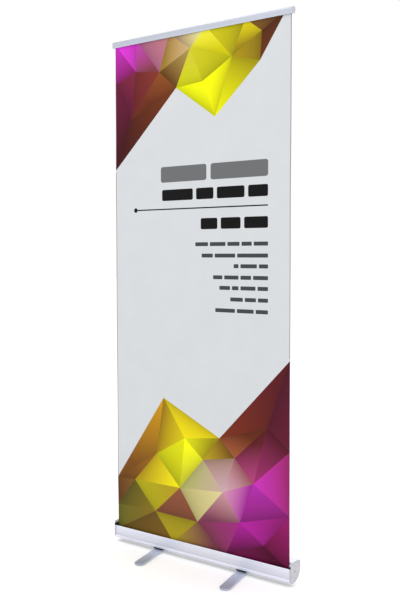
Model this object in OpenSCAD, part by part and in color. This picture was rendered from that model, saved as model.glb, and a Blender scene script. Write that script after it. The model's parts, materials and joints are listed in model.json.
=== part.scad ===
// Roll-up banner stand: spring-roller cassette on two swivelling feet, printed film banner,
// clamp rail at the top and a three-section elastic-corded pole behind.
// Axes: X along the cassette, -Y towards the printed side, +Z up. Millimetres.
// The origin is on the floor, under the middle of the feet.

/* [Overall] */
// printed film width
banner_w = 850; // [600:10:1000]
// film seen between the front lip and the top rail
banner_h = 2000; // [1500:10:2200]
// film thickness
film = 0.2; // [0.15:0.05:0.5]
// plane of the film
film_y = -20; // [-22:0.5:-18]

/* [Cassette] */
// half length of the two cassette profiles
prof_x = 432; // [308:1:510]
// half length over the end caps
cap_x = 438; // [314:1:516]
// front face
front_y = -33.5; // [-36:0.5:-32]
// back face
rear_y = 35.5; // [34:0.5:40]
// underside
base_z = 13; // [12.5:0.5:18]
// top of the front lip
lip_z = 69.5; // [68:0.5:72]
// top of the deck behind the slot
deck_z = 89; // [88:0.5:92]
// extrusion wall
wall = 1.8; // [1.4:0.1:2.4]
// hole in a screw port
port_r = 1.45; // [1.3:0.05:1.6]

/* [Roller] */
// outside radius of the roller tube
tube_r = 14; // [12:0.5:15]
// half length of the roller tube
tube_x = 426; // [300:1:504]
// turns of the counterbalance spring
spring_turns = 34; // [20:1:40]

/* [Feet] */
// distance of each foot pivot from the middle
foot_x = 207; // [206:1:230]
// half length of a foot bar
foot_half = 204; // [150:1:204]
// width of a foot bar
foot_w = 41; // [30:1:45]
// thickness of a foot bar
foot_t = 6; // [4:0.5:6]
// how far both feet stand swung from square to the cassette
foot_swing = 13; // [0:1:30]

/* [Rail] */
// half length of the rail profiles
rail_x = 432.5; // [308:0.5:510]
// half length over the rail end caps
rail_end = 435; // [310:0.5:513]

/* [Pole] */
// outside radius of the pole tubes
pole_r = 7; // [6:0.5:7]
// inside radius of the pole tubes
pole_bore = 6; // [5:0.5:6]
// height of the lower joint
joint_z1 = 722; // [600:1:800]
// height of the upper joint
joint_z2 = 1386; // [1200:1:1500]
// top of the upper tube
pole_top = 2050; // [1550:1:2250]

/* [Hidden] */

// centre and radius of the big curve under the back
arc_y = -14;
arc_z = base_z + 49.5;
arc_r = 49.5;
// centre and radius of the curve under the front
toe_y = -16;
toe_z = base_z + 17;
toe_r = 17;
// screw ports of the two profiles: front wall, slot edge, rear corner, floor
port_a = [-27.8, 41];
port_b = [-8.6, 80];
port_c = [30.1, 83.6];
port_d = [-2, base_z + 5.7];
// rows of screws in a foot mount
mount_screw_y = [-13, 4.5];
// top of the blocks that close the ends of the film slot
stop_top = lip_z + 10.5;
// roller axis: the film leaves its front straight up the film plane
roll_y = film_y + tube_r + 0.5;
roll_z = 56;
// top of the glides under the foot bars, and their distance from the pivot
foot_z0 = 2.2;
glide_y = foot_half - 24;
// underside of the foot mounts
mount_z = 9;
// underside of the rail, and the jaw's bead inside the rail section
rail_z = lip_z + banner_h;
hinge_y = 1.0;
hinge_z = 20.5;
// pole axis and the centre of its ball foot
pole_y = 21.5;
ball_z = 58;

// colours
c_alu = [0.74, 0.74, 0.80];
c_foot = [0.50, 0.53, 0.60];
c_cap = [0.66, 0.66, 0.70];
c_black = [0.06, 0.06, 0.07];
c_steel = [0.62, 0.63, 0.65];
c_film = [0.84, 0.86, 0.87];

$fn = 64;

// ---------- helpers ----------

// a (y, z) section drawn out along x
module along_x(x0, x1) {
    translate([x0, 0, 0]) rotate([90, 0, 90]) linear_extrude(x1 - x0) children();
}

// a round bar along x
module rod_x(y, z, r, x0, x1) {
    translate([x0, y, z]) rotate([0, 90, 0]) cylinder(r = r, h = x1 - x0);
}

module rect(y0, z0, y1, z1) {
    translate([y0, z0]) square([y1 - y0, z1 - z0]);
}

module disc(y, z, r) {
    translate([y, z]) circle(r);
}

// wedge of directions from a0 to a1 degrees, less than half a turn
module wedge(a0, a1, r) {
    am = (a0 + a1) / 2;
    polygon([[0, 0], r * [cos(a0), sin(a0)], 1.5 * r * [cos(am), sin(am)], r * [cos(a1), sin(a1)]]);
}

// part of a ring wall from a0 to a1 degrees
module ring_part(y, z, ro, ri, a0, a1) {
    translate([y, z]) intersection() {
        difference() { circle(ro); circle(ri); }
        wedge(a0, a1, ro * 2);
    }
}

// screw port: a small ring for a self-tapping screw
module port(y, z, ro = 3, ri = port_r) {
    difference() { disc(y, z, ro); disc(y, z, ri); }
}

// side outline of the cassette, moved in by d
module end_outline(d = 0) {
    difference() {
        union() {
            rect(front_y + d, toe_z, arc_y, deck_z - d);
            rect(toe_y, base_z + d, arc_y, toe_z + 1);
            intersection() {
                disc(front_y + 17.5, base_z + 17.5, 17.5 - d);
                rect(front_y, base_z, toe_y + 0.5, toe_z + 1);
            }
            rect(arc_y - 1, arc_z, rear_y - d, deck_z - d);
            intersection() {
                disc(arc_y, arc_z, arc_r - d);
                rect(arc_y - 1, base_z - 5, rear_y + 5, arc_z + 1);
            }
        }
        // rounded corners: front top, rear top
        difference() {
            rect(front_y - 1, deck_z - 7, front_y + 7, deck_z + 1);
            disc(front_y + 7, deck_z - 7, 7 - d);
        }
        difference() {
            rect(rear_y - 6, deck_z - 6, rear_y + 1, deck_z + 1);
            disc(rear_y - 6, deck_z - 6, 6 - d);
        }
    }
}

// ---------- cassette ----------

// front profile: lip bead, tall face, raised lower band with a groove, floor and start of the curve
module cassette_front() {
    color(c_alu) difference() {
        along_x(-prof_x, prof_x) difference() {
            union() {
                rect(-32.2, 35, -30.4, 68);
                disc(-30.8, lip_z - 1.6, 1.6);
                // shadow groove, bead and the curved lower band
                polygon([[-30.4, 36], [-32.2, 36], [-32.2, 34], [-31.5, 33.4], [-31.5, 31.8], [-32.4, 31],
                         [-32.4, 29.4], [-31.8, 28], [-30.4, 28]]);
                disc(-32.0, 28.9, 1.5);
                ring_part(toe_y, toe_z, toe_r, toe_r - wall, 183, 270);
                rect(toe_y, base_z, arc_y, base_z + wall);
                ring_part(arc_y, arc_z, arc_r, arc_r - wall, 270, 304.4);
                disc(port_a[0], port_a[1], 3);
                disc(port_d[0], port_d[1], 3);
            }
            disc(port_a[0], port_a[1], port_r);
            disc(port_d[0], port_d[1], port_r);
            // fine groove along the lower band
            translate([toe_y, toe_z]) rotate(218) translate([toe_r, 0]) circle(0.45);
        }
        // holes for the foot mount screws
        for (sx = [-1, 1]) for (dx = [-15, 15]) for (y = mount_screw_y)
            translate([sx * foot_x + dx, y, base_z - 2]) cylinder(r = 2.1, h = 12);
    }
}

// rear profile: curved back, deck behind the slot, turned-down slot edge, tongue inside the front profile
module cassette_rear() {
    color(c_alu) difference() {
        along_x(-prof_x, prof_x) difference() {
            union() {
                ring_part(arc_y, arc_z, arc_r - wall - 0.1, arc_r - wall - 1.7, 298, 305);
                ring_part(arc_y, arc_z, arc_r, arc_r - wall - 1.7, 305, 308);
                ring_part(arc_y, arc_z, arc_r, arc_r - wall, 307, 360);
                rect(rear_y - wall, arc_z, rear_y, deck_z - 5);
                ring_part(rear_y - 5, deck_z - 5, 5, 5 - wall, 0, 90);
                rect(-9, deck_z - wall, rear_y - 5, deck_z);
                ring_part(-9, deck_z - 4, 4, 4 - wall, 90, 180);
                rect(-13, 77, -13 + wall, deck_z - 4);
                disc(port_b[0], port_b[1], 3);
                disc(port_c[0], port_c[1], 3.9);
            }
            disc(port_b[0], port_b[1], port_r);
            disc(port_c[0], port_c[1], port_r);
            // three fine grooves along the back
            for (a = [332, 337, 342]) translate([arc_y, arc_z]) rotate(a) translate([arc_r, 0]) circle(0.6);
        }
        // hole for the pole, longer towards the back so the pole can lean
        hole_slot(7.6, 2.0, deck_z - 12, 20);
        translate([-9.2, pole_y - 2.5, deck_z - 12]) cube([18.4, 5, 20]);
    }
}

module hole_slot(r, more, z, h) {
    translate([0, pole_y, z]) cylinder(r = r, h = h);
    translate([0, pole_y + more, z]) cylinder(r = r, h = h);
    translate([-r, pole_y, z]) cube([2 * r, more, h]);
}

// end cap: full side outline standing proud of the front lip, thinner raised panel outside, hub inside
module cap_body() {
    along_x(prof_x, cap_x - 1.6) end_outline(0);
    along_x(prof_x, cap_x) end_outline(1.8);
    rod_x(roll_y, roll_z, 9, prof_x - 3.5, prof_x + 1);
}

// open pocket in the cap's front edge for the slot stop
module stop_pocket() {
    x0 = prof_x - 1;
    z0 = lip_z + 0.2;
    translate([x0, front_y - 1, z0]) cube([cap_x - 1.5 - x0, 12.6, stop_top + 0.1 - z0]);
}

module cap_screw_holes() {
    for (p = [port_a, port_b, port_c, port_d]) {
        rod_x(p[0], p[1], 1.6, prof_x - 1, cap_x + 1);
        rod_x(p[0], p[1], 3.0, cap_x - 2.2, cap_x + 1);
    }
}

module end_cap_left() {
    color(c_cap) mirror([1, 0, 0]) difference() {
        cap_body();
        cap_screw_holes();
        stop_pocket();
        // pocket for the bearing bush
        rod_x(roll_y, roll_z, 7, prof_x - 4, prof_x + 4);
    }
}

module end_cap_right() {
    color(c_cap) difference() {
        cap_body();
        cap_screw_holes();
        stop_pocket();
        // square seat for the arbor and the round access hole outside it
        translate([prof_x - 4, roll_y - 4.05, roll_z - 4.05]) cube([7, 8.1, 8.1]);
        rod_x(roll_y, roll_z, 3.6, prof_x, cap_x + 1);
    }
}

// pan-head screw along x, its head outwards
module end_screw(y, z) {
    difference() {
        union() {
            rod_x(y, z, 2.8, cap_x - 2.2, cap_x - 0.4);
            rod_x(y, z, 1.4, prof_x - 12, cap_x - 2);
        }
        for (a = [0, 90]) translate([cap_x - 1.2, y, z]) rotate([a, 0, 0])
            cube([2, 3.2, 0.7], center = true);
    }
}

module end_cap_screws() {
    color(c_steel) for (m = [0, 1]) mirror([m, 0, 0])
        for (p = [port_a, port_b, port_c, port_d]) end_screw(p[0], p[1]);
}

// felt strip inside the lip that keeps the film from scratching
module lip_felt() {
    color(c_black) translate([-prof_x, -30.4, 55]) cube([2 * prof_x, 1.8, 11]);
}

// plastic block that closes the end of the film slot: tongue behind the lip, head over the lip,
// and the front of the head reaching into the cap's pocket
module slot_stop() {
    x0 = prof_x - 4.5;
    x1 = prof_x - 0.1;
    head_z = lip_z + 0.3;
    tongue_z = 62;
    translate([x0, -28.4, tongue_z]) cube([x1 - x0, 15.2, stop_top - tongue_z]);
    translate([x0, front_y + 0.3, head_z]) cube([x1 - x0, 18, stop_top - head_z]);
    translate([x0, front_y + 0.3, head_z]) cube([cap_x - 1.7 - x0, 11.2, stop_top - head_z]);
}

module slot_stop_left() { color(c_black) mirror([1, 0, 0]) slot_stop(); }
module slot_stop_right() { color(c_black) slot_stop(); }

// ---------- foot mounts ----------

module mount_block(x) {
    difference() {
        union() {
            translate([x - 23, -19, mount_z]) cube([46, 31, 22]);
            translate([x - 20, -22, mount_z]) cube([40, 37, 22]);
            for (dx = [-20, 20]) for (y = [-19, 12])
                translate([x + dx, y, mount_z]) cylinder(r = 3, h = 22);
        }
        // underside of the cassette
        along_x(x - 30, x + 30) union() {
            rect(toe_y, base_z, arc_y, 60);
            disc(toe_y, toe_z, toe_r + 0.05);
            rect(-40, toe_z, arc_y, 60);
            disc(arc_y, arc_z, arc_r + 0.05);
        }
        translate([x, 0, mount_z - 1]) cylinder(r = 3.02, h = 20);
        for (dx = [-15, 15]) for (y = mount_screw_y) translate([x + dx, y, 0]) {
            cylinder(r = 2.1, h = 40);
            translate([0, 0, mount_z - 0.01]) cylinder(r1 = 4.2, r2 = 2.1, h = 2.1);
        }
    }
}

module foot_mount_left() { color(c_black) mount_block(-foot_x); }
module foot_mount_right() { color(c_black) mount_block(foot_x); }

module foot_mount_screws() {
    color(c_steel) for (sx = [-1, 1]) for (dx = [-15, 15]) for (y = mount_screw_y)
        translate([sx * foot_x + dx, y, mount_z + 0.05]) difference() {
            union() {
                cylinder(r1 = 4.0, r2 = 2.0, h = 2.0);
                cylinder(r = 2.0, h = 14);
            }
            for (a = [0, 90]) rotate(a) cube([3.6, 0.7, 1.8], center = true);
        }
}

// pivot bolt: low head recessed in the foot bar, shank up into the mount
module pivot_bolt(x) {
    translate([x, 0, 0]) difference() {
        union() {
            translate([0, 0, foot_z0 + 0.3]) cylinder(r = 6.2, h = 2.6);
            translate([0, 0, foot_z0 + 1]) cylinder(r = 3, h = mount_z + 4.5 - foot_z0 - 1);
        }
        translate([0, 0, foot_z0]) cylinder(r = 2.3, h = 1.8, $fn = 6);
    }
}

module foot_bolt_left() { color(c_steel) pivot_bolt(-foot_x); }
module foot_bolt_right() { color(c_steel) pivot_bolt(foot_x); }

module foot_washers() {
    color(c_black) for (sx = [-1, 1]) translate([sx * foot_x, 0, mount_z - 0.5]) difference() {
        cylinder(r = 12, h = 0.5);
        translate([0, 0, -1]) cylinder(r = 3.1, h = 3);
    }
}

// ---------- feet ----------

module bar(x) {
    e = foot_half - foot_w / 2;
    difference() {
        union() {
            translate([x - foot_w / 2, -e, foot_z0]) cube([foot_w, 2 * e, foot_t]);
            for (s = [-1, 1]) translate([x, s * e, foot_z0]) cylinder(d = foot_w, h = foot_t);
        }
        translate([x, 0, 0]) cylinder(r = 3.06, h = 20);
        translate([x, 0, foot_z0 - 1]) cylinder(r = 6.6, h = 1 + 3.2);
    }
}

// turned about the foot's own pivot
module swung(x) {
    translate([x, 0, 0]) rotate(foot_swing) translate([-x, 0, 0]) children();
}

module foot_bar_left() { color(c_foot) swung(-foot_x) bar(-foot_x); }
module foot_bar_right() { color(c_foot) swung(foot_x) bar(foot_x); }

module glides(x) {
    for (s = [-1, 1]) translate([x, s * glide_y, 0]) {
        cylinder(r = 13, h = foot_z0 - 0.8);
        translate([0, 0, foot_z0 - 0.8]) cylinder(r = 14.5, h = 0.8);
    }
}

module foot_glides_left() { color(c_black) swung(-foot_x) glides(-foot_x); }
module foot_glides_right() { color(c_black) swung(foot_x) glides(foot_x); }

// ---------- roller ----------

// fixed arbor: square end in the right cap, round bar through the spring
module spring_arbor() {
    color(c_steel) {
        translate([prof_x - 4, roll_y - 4, roll_z - 4]) cube([6.9, 8, 8]);
        rod_x(roll_y, roll_z, 5, prof_x - 190, prof_x - 4);
        // collar that anchors the inner end of the spring
        rod_x(roll_y, roll_z, 6.2, prof_x - 22, prof_x - 17);
    }
}

module roller_bush() {
    color(c_black) difference() {
        union() {
            rod_x(roll_y, roll_z, 6.98, -prof_x - 3.9, -prof_x + 3.5);
            rod_x(roll_y, roll_z, 8.6, -prof_x + 3.5, -prof_x + 4.5);
        }
        rod_x(roll_y, roll_z, 4.06, -prof_x - 3, -prof_x + 6);
    }
}

module roller_tube() {
    color(c_alu) difference() {
        rod_x(roll_y, roll_z, tube_r, -tube_x, tube_x);
        rod_x(roll_y, roll_z, tube_r - 1.2, -tube_x - 1, tube_x + 1);
    }
}

module roller_plug_left() {
    color(c_black) {
        rod_x(roll_y, roll_z, tube_r - 0.2, -tube_x - 1, -tube_x);
        rod_x(roll_y, roll_z, tube_r - 1.25, -tube_x, -tube_x + 22);
        rod_x(roll_y, roll_z, 4, -prof_x - 2.6, -tube_x - 1);
    }
}

module roller_plug_right() {
    color(c_black) difference() {
        union() {
            rod_x(roll_y, roll_z, tube_r - 0.2, tube_x, tube_x + 1);
            rod_x(roll_y, roll_z, tube_r - 1.25, tube_x - 8, tube_x);
        }
        rod_x(roll_y, roll_z, 5.06, tube_x - 10, tube_x + 3);
    }
}

// counterbalance spring around the arbor, drawn as close turns
module torsion_spring() {
    color(c_steel) for (i = [0 : spring_turns - 1])
        translate([prof_x - 182 + i * 4.5, roll_y, roll_z]) rotate([0, 90, 0])
            rotate_extrude() translate([8.6, 0]) circle(1.1);
}

// last turn of film that stays on the roller
module leader_wrap() {
    color(c_film) difference() {
        rod_x(roll_y, roll_z, tube_r + 0.32, -banner_w / 2, banner_w / 2);
        rod_x(roll_y, roll_z, tube_r + 0.12, -banner_w / 2 - 1, banner_w / 2 + 1);
    }
}

// double-sided tape between the roller and the film
module leader_tape() {
    color(c_film) translate([-banner_w / 2 + 2, roll_y, roll_z]) rotate([90, 0, 90])
        linear_extrude(banner_w - 4) ring_part(0, 0, tube_r + 0.1, tube_r, 20, 95);
}

// ---------- banner ----------

module banner() {
    color(c_film) translate([-banner_w / 2, film_y - film / 2, roll_z + 0.5])
        cube([banner_w, film, rail_z + 15 - roll_z - 0.5]);
}

// ---------- top rail ----------

module rail_section(x0, x1) {
    translate([0, film_y, rail_z]) along_x(x0, x1) children();
}

// rear half: clamping web, hinge groove, hollow chamber and the ledge that the pole carries
module rail_back() {
    color(c_alu) rail_section(-rail_x, rail_x) difference() {
        union() {
            rect(0.4, 0, 2.0, 18);
            difference() {
                disc(hinge_y, hinge_z, 4);
                disc(hinge_y, hinge_z, 2.28);
                translate([hinge_y, hinge_z]) wedge(118, 206, 9);
            }
            rect(hinge_y + 1, 22.9, 6.2, 24.5);
            ring_part(6, 21.5, 3, 1.4, 0, 90);
            rect(7.4, 10, 9, 21.6);
            rect(1.8, 10, 9, 11.6);
            disc(5.3, 15.6, 2.4);
        }
        disc(5.3, 15.6, 1.3);
    }
}

// front half: the jaw that swings open on the bead
module rail_jaw() {
    color(c_alu) rail_section(-rail_x + 0.3, rail_x - 0.3) union() {
        disc(hinge_y, hinge_z, 2.2);
        rect(-6.6, hinge_z - 0.8, hinge_y, hinge_z + 0.8);
        rect(-8, 2.2, -6.4, 21);
        ring_part(-5, 21, 3, 1.4, 90, 180);
        rect(-5, 22.4, -3.5, 24);
        polygon([[-8, 2.4], [-7, 0.8], [-6, 0], [-0.4, 0], [-0.4, 1.6], [-5.6, 1.6], [-6.4, 2.4]]);
        rect(-2.3, 1.4, -1.4, 9);
    }
}

// rubber strip that grips the film
module jaw_grip() {
    color(c_black) rail_section(-rail_x + 2, rail_x - 2) rect(-1.4, 2.6, -0.4, 8.6);
}

module rail_cap_outline(d = 0) {
    difference() {
        rect(-8 + d, d, 9 - d, 24.5 - d);
        difference() { rect(-9, 20.5, -4, 25.5); disc(-4, 20.5, 4 - d); }
        difference() { rect(5, 20.5, 10, 25.5); disc(5, 20.5, 4 - d); }
        difference() { rect(-9, -1, -6, 2); disc(-6, 2, 2 - d); }
        // open corner under the ledge
        rect(5.2 - d, -1, 10, 4.5 + d);
    }
}

module rail_cap_body() {
    difference() {
        union() {
            rail_section(rail_x, rail_end - 0.8) rail_cap_outline(0);
            rail_section(rail_x, rail_end) rail_cap_outline(0.8);
        }
        translate([0, film_y, rail_z]) rod_x(5.3, 15.6, 1.4, rail_x - 1, rail_end + 1);
        translate([0, film_y, rail_z]) rod_x(5.3, 15.6, 3.0, rail_end - 1.2, rail_end + 1);
    }
}

module rail_cap_left() { color(c_cap) mirror([1, 0, 0]) rail_cap_body(); }
module rail_cap_right() { color(c_cap) rail_cap_body(); }

module rail_cap_screws() {
    color(c_steel) for (m = [0, 1]) mirror([m, 0, 0]) translate([0, film_y, rail_z]) difference() {
        union() {
            rod_x(5.3, 15.6, 2.7, rail_end - 1.2, rail_end + 0.4);
            rod_x(5.3, 15.6, 1.25, rail_x - 12, rail_end - 1);
        }
        for (a = [0, 90]) translate([rail_end, 5.3, 15.6]) rotate([a, 0, 0])
            cube([1.4, 3, 0.6], center = true);
    }
}

// ---------- pole ----------

// plastic cup inside the cassette: ball seat below, lengthened bore above
module pole_cup() {
    color(c_black) difference() {
        intersection() {
            translate([-12, 13, 47]) cube([24, rear_y - wall - 13, deck_z - wall - 47]);
            union() {
                translate([-20, arc_y, arc_z]) rotate([0, 90, 0]) cylinder(r = arc_r - wall - 0.05, h = 40);
                translate([-20, 0, arc_z]) cube([40, rear_y - wall - 0.05, 40]);
            }
        }
        translate([0, pole_y, ball_z]) sphere(r = pole_r + 0.08);
        hole_slot(pole_r + 0.3, 2.0, ball_z, 40);
        // open-topped seats for the foot's side pins
        rod_x(pole_y, ball_z, 2.06, -9, 9);
        translate([-9, pole_y - 2.06, ball_z]) cube([18, 4.12, 40]);
        // room for the screw port and the rounded corner of the rear profile
        along_x(-20, 20) disc(port_c[0], port_c[1], 4.1);
        translate([-20, port_c[0] - 1, port_c[1]]) cube([40, 20, 20]);
    }
}

// trim ring around the pole hole
module pole_bezel() {
    color(c_black) difference() {
        union() {
            translate([-12.5, 15.5, deck_z]) cube([25, 13, 1.3]);
            translate([-9.5, 12.5, deck_z]) cube([19, 19, 1.3]);
            for (x = [-9.5, 9.5]) for (y = [15.5, 28.5]) translate([x, y, deck_z]) cylinder(r = 3, h = 1.3);
        }
        hole_slot(pole_r + 0.5, 2.0, deck_z - 1, 4);
        translate([-9.1, pole_y - 2.4, deck_z - 1]) cube([18.2, 4.8, 4]);
    }
}

module pole_foot() {
    color(c_black) translate([0, pole_y, ball_z]) {
        intersection() {
            sphere(r = pole_r);
            translate([0, 0, -10]) cylinder(r = 10, h = 10);
        }
        cylinder(r = pole_r, h = 3);
        // side pins the foot turns on
        rotate([0, 90, 0]) translate([0, 0, -8.8]) cylinder(r = 2, h = 17.6);
        difference() {
            cylinder(r = pole_bore - 0.05, h = 30);
            translate([0, 0, 8]) cylinder(r = 2.6, h = 30);
        }
    }
}

module tube_z(z0, z1) {
    translate([0, pole_y, z0]) difference() {
        cylinder(r = pole_r, h = z1 - z0);
        translate([0, 0, -1]) cylinder(r = pole_bore, h = z1 - z0 + 2);
    }
}

module pole_tube_lower() { color(c_alu) tube_z(ball_z + 3, joint_z1 - 4); }
module pole_tube_middle() { color(c_alu) tube_z(joint_z1 + 4, joint_z2 - 4); }
module pole_tube_upper() { color(c_alu) tube_z(joint_z2 + 4, pole_top); }

// joint between two sections: collar outside, spigots inside both tubes, bored for the cord
module pole_joint(z) {
    translate([0, pole_y, z]) difference() {
        union() {
            translate([0, 0, -4]) cylinder(r = pole_r + 0.7, h = 8);
            translate([0, 0, -34]) cylinder(r = pole_bore - 0.05, h = 68);
        }
        translate([0, 0, -40]) cylinder(r = 2.6, h = 80);
    }
}

module pole_joint_lower() { color(c_black) pole_joint(joint_z1); }
module pole_joint_upper() { color(c_black) pole_joint(joint_z2); }

// elastic cord through the three sections
module pole_cord() {
    color(c_black) translate([0, pole_y, ball_z + 9]) cylinder(r = 2.2, h = pole_top - ball_z - 18);
}

// plug on the top tube with the forward arm whose tongue sits under the rail's ledge
module pole_hook() {
    tz = rail_z + 9.7;
    color(c_black) difference() {
        union() {
            translate([0, pole_y, pole_top - 30]) cylinder(r = pole_bore - 0.05, h = 31);
            translate([0, pole_y, pole_top]) cylinder(r = pole_r + 1, h = tz - pole_top);
            translate([-8, film_y + 2.8, tz - 5]) cube([16, pole_y - film_y - 2.8, 5]);
            // gusset under the arm
            translate([-2, 0, 0]) along_x(0, 4) polygon([[pole_y, pole_top + 2], [pole_y - 4, pole_top + 2],
                [film_y + 12.5, tz - 5], [film_y + 12.5, tz - 4], [pole_y, tz - 4]]);
        }
        translate([0, pole_y, pole_top - 40]) cylinder(r = 2.6, h = 36);
    }
}

// ---------- one node, or all ----------

cassette_front();
cassette_rear();
end_cap_left();
end_cap_right();
end_cap_screws();
lip_felt();
slot_stop_left();
slot_stop_right();
foot_mount_left();
foot_mount_right();
foot_mount_screws();
foot_bolt_left();
foot_bolt_right();
foot_washers();
spring_arbor();
roller_bush();
pole_cup();
pole_bezel();
banner();
roller_tube();
roller_plug_left();
roller_plug_right();
torsion_spring();
leader_wrap();
leader_tape();
foot_bar_left();
foot_bar_right();
foot_glides_left();
foot_glides_right();
rail_back();
rail_cap_left();
rail_cap_right();
rail_cap_screws();
rail_jaw();
jaw_grip();
pole_foot();
pole_tube_lower();
pole_tube_middle();
pole_tube_upper();
pole_joint_lower();
pole_joint_upper();
pole_cord();
pole_hook();
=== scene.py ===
import json
import math

import bmesh
import bpy
import numpy as np
from mathutils import Matrix, Vector, noise
from mathutils.geometry import delaunay_2d_cdt


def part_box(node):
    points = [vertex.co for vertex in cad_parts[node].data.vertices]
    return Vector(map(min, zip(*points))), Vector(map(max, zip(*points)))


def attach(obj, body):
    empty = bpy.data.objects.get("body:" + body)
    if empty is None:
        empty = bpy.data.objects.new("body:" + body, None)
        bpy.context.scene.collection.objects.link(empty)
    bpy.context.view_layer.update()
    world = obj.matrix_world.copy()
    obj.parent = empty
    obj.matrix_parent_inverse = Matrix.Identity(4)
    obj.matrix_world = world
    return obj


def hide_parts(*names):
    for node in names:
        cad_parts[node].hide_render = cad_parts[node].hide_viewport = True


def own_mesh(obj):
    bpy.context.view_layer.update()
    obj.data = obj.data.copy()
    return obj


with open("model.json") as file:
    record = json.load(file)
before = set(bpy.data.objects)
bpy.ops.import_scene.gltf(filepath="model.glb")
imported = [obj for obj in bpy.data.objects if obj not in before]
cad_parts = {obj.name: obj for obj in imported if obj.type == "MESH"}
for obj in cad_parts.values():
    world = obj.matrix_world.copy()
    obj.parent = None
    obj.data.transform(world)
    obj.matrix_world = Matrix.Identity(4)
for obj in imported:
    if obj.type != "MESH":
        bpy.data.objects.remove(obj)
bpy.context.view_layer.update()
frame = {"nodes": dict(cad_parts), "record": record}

MM = 0.001
body_of = {n: b for b, names in frame["record"]["behaviour"]["bodies"].items() for n in names}
slot_of = {n: o.material_slots[0].material.name for n, o in frame["nodes"].items()}


# ---------- shader helpers ----------

def linear(r, g, b):
    """A display colour of 0 to 255 as the linear colour that a shader takes."""
    parts = []
    for value in (r, g, b):
        c = value / 255
        parts.append(c / 12.92 if c <= 0.04045 else ((c + 0.055) / 1.055) ** 2.4)
    return (*parts, 1.0)


def shaded(colour, factor, lift=0.0):
    """A linear colour made lighter or darker, and lifted off black."""
    return tuple(min(1.0, c * factor + lift) for c in colour[:3]) + (1.0,)


class Shader:
    """A principled material whose patterns are added with short calls."""

    def __init__(self, name, **sockets):
        self.material = bpy.data.materials.new(name)
        self.material.use_nodes = True
        self.tree = self.material.node_tree
        self.surface = self.tree.nodes["Principled BSDF"]
        self.set(self.surface, sockets)
        self.place = self.add("ShaderNodeTexCoord").outputs["Object"]

    def set(self, target, sockets):
        """Fill a node's inputs, each with a number or colour or with another node's output."""
        for key, value in sockets.items():
            socket = target.inputs[key if isinstance(key, int) else key.replace("_", " ")]
            if isinstance(value, bpy.types.NodeSocket):
                self.tree.links.new(value, socket)
            else:
                socket.default_value = value

    def add(self, kind, sockets=None, **settings):
        """A new node of one kind, with its inputs and its settings."""
        made = self.tree.nodes.new(kind)
        for key, value in settings.items():
            setattr(made, key, value)
        self.set(made, sockets or {})
        return made

    def stretched(self, scale):
        """Object coordinates scaled by a different factor along each axis."""
        return self.add("ShaderNodeMapping", {"Vector": self.place, "Scale": scale}).outputs["Vector"]

    def noise(self, scale, detail=3.0, rough=0.55, vector=None):
        """Fractal noise through the object, or through a vector of its own."""
        return self.add("ShaderNodeTexNoise", {"Vector": vector or self.place, "Scale": scale,
                                               "Detail": detail, "Roughness": rough}).outputs["Fac"]

    def ramp(self, factor, low, high, out_low=0.0, out_high=1.0):
        """A factor stretched from low and high to out_low and out_high."""
        return self.add("ShaderNodeMapRange", {"Value": factor, "From Min": low, "From Max": high,
                                               "To Min": out_low, "To Max": out_high}).outputs["Result"]

    def math(self, operation, a, b):
        """One arithmetic step on two numbers."""
        return self.add("ShaderNodeMath", {0: a, 1: b}, operation=operation).outputs[0]

    def mix(self, factor, a, b, blend="MIX"):
        """Colour a with a share of colour b over it."""
        made = self.add("ShaderNodeMix", data_type="RGBA", blend_type=blend)
        self.set(made, {0: factor, 6: a, 7: b})
        return made.outputs[2]

    def tone_along(self, axis, stops):
        """A grey that changes along an axis of the object, through (place, tone) stops."""
        low, high = stops[0][0], stops[-1][0]
        place = self.add("ShaderNodeSeparateXYZ", {"Vector": self.place}).outputs[axis]
        greys = self.add("ShaderNodeValToRGB", {"Fac": self.ramp(place, low, high)})
        scale = greys.color_ramp.elements
        while len(scale) < len(stops):
            scale.new(1.0)
        for element, (stop, tone) in zip(scale, stops):
            element.position = (stop - low) / (high - low)
            element.color = (tone, tone, tone, 1.0)
        return greys.outputs["Color"]

    def attribute(self, name, output):
        """A value that the mesh carries, such as its ink or which faces are edges."""
        return self.add("ShaderNodeAttribute", attribute_name=name).outputs[output]

    def bump(self, height, strength, distance):
        """The surface's relief, distance metres high where the height is 1."""
        sockets = {"Height": height, "Strength": strength, "Distance": distance}
        return self.add("ShaderNodeBump", sockets).outputs["Normal"]

    def finish(self, colour, roughness, normal):
        """Join the patterns to the surface and give back the material."""
        self.set(self.surface, {"Base Color": colour, "Roughness": roughness, "Normal": normal})
        return self.material


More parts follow.
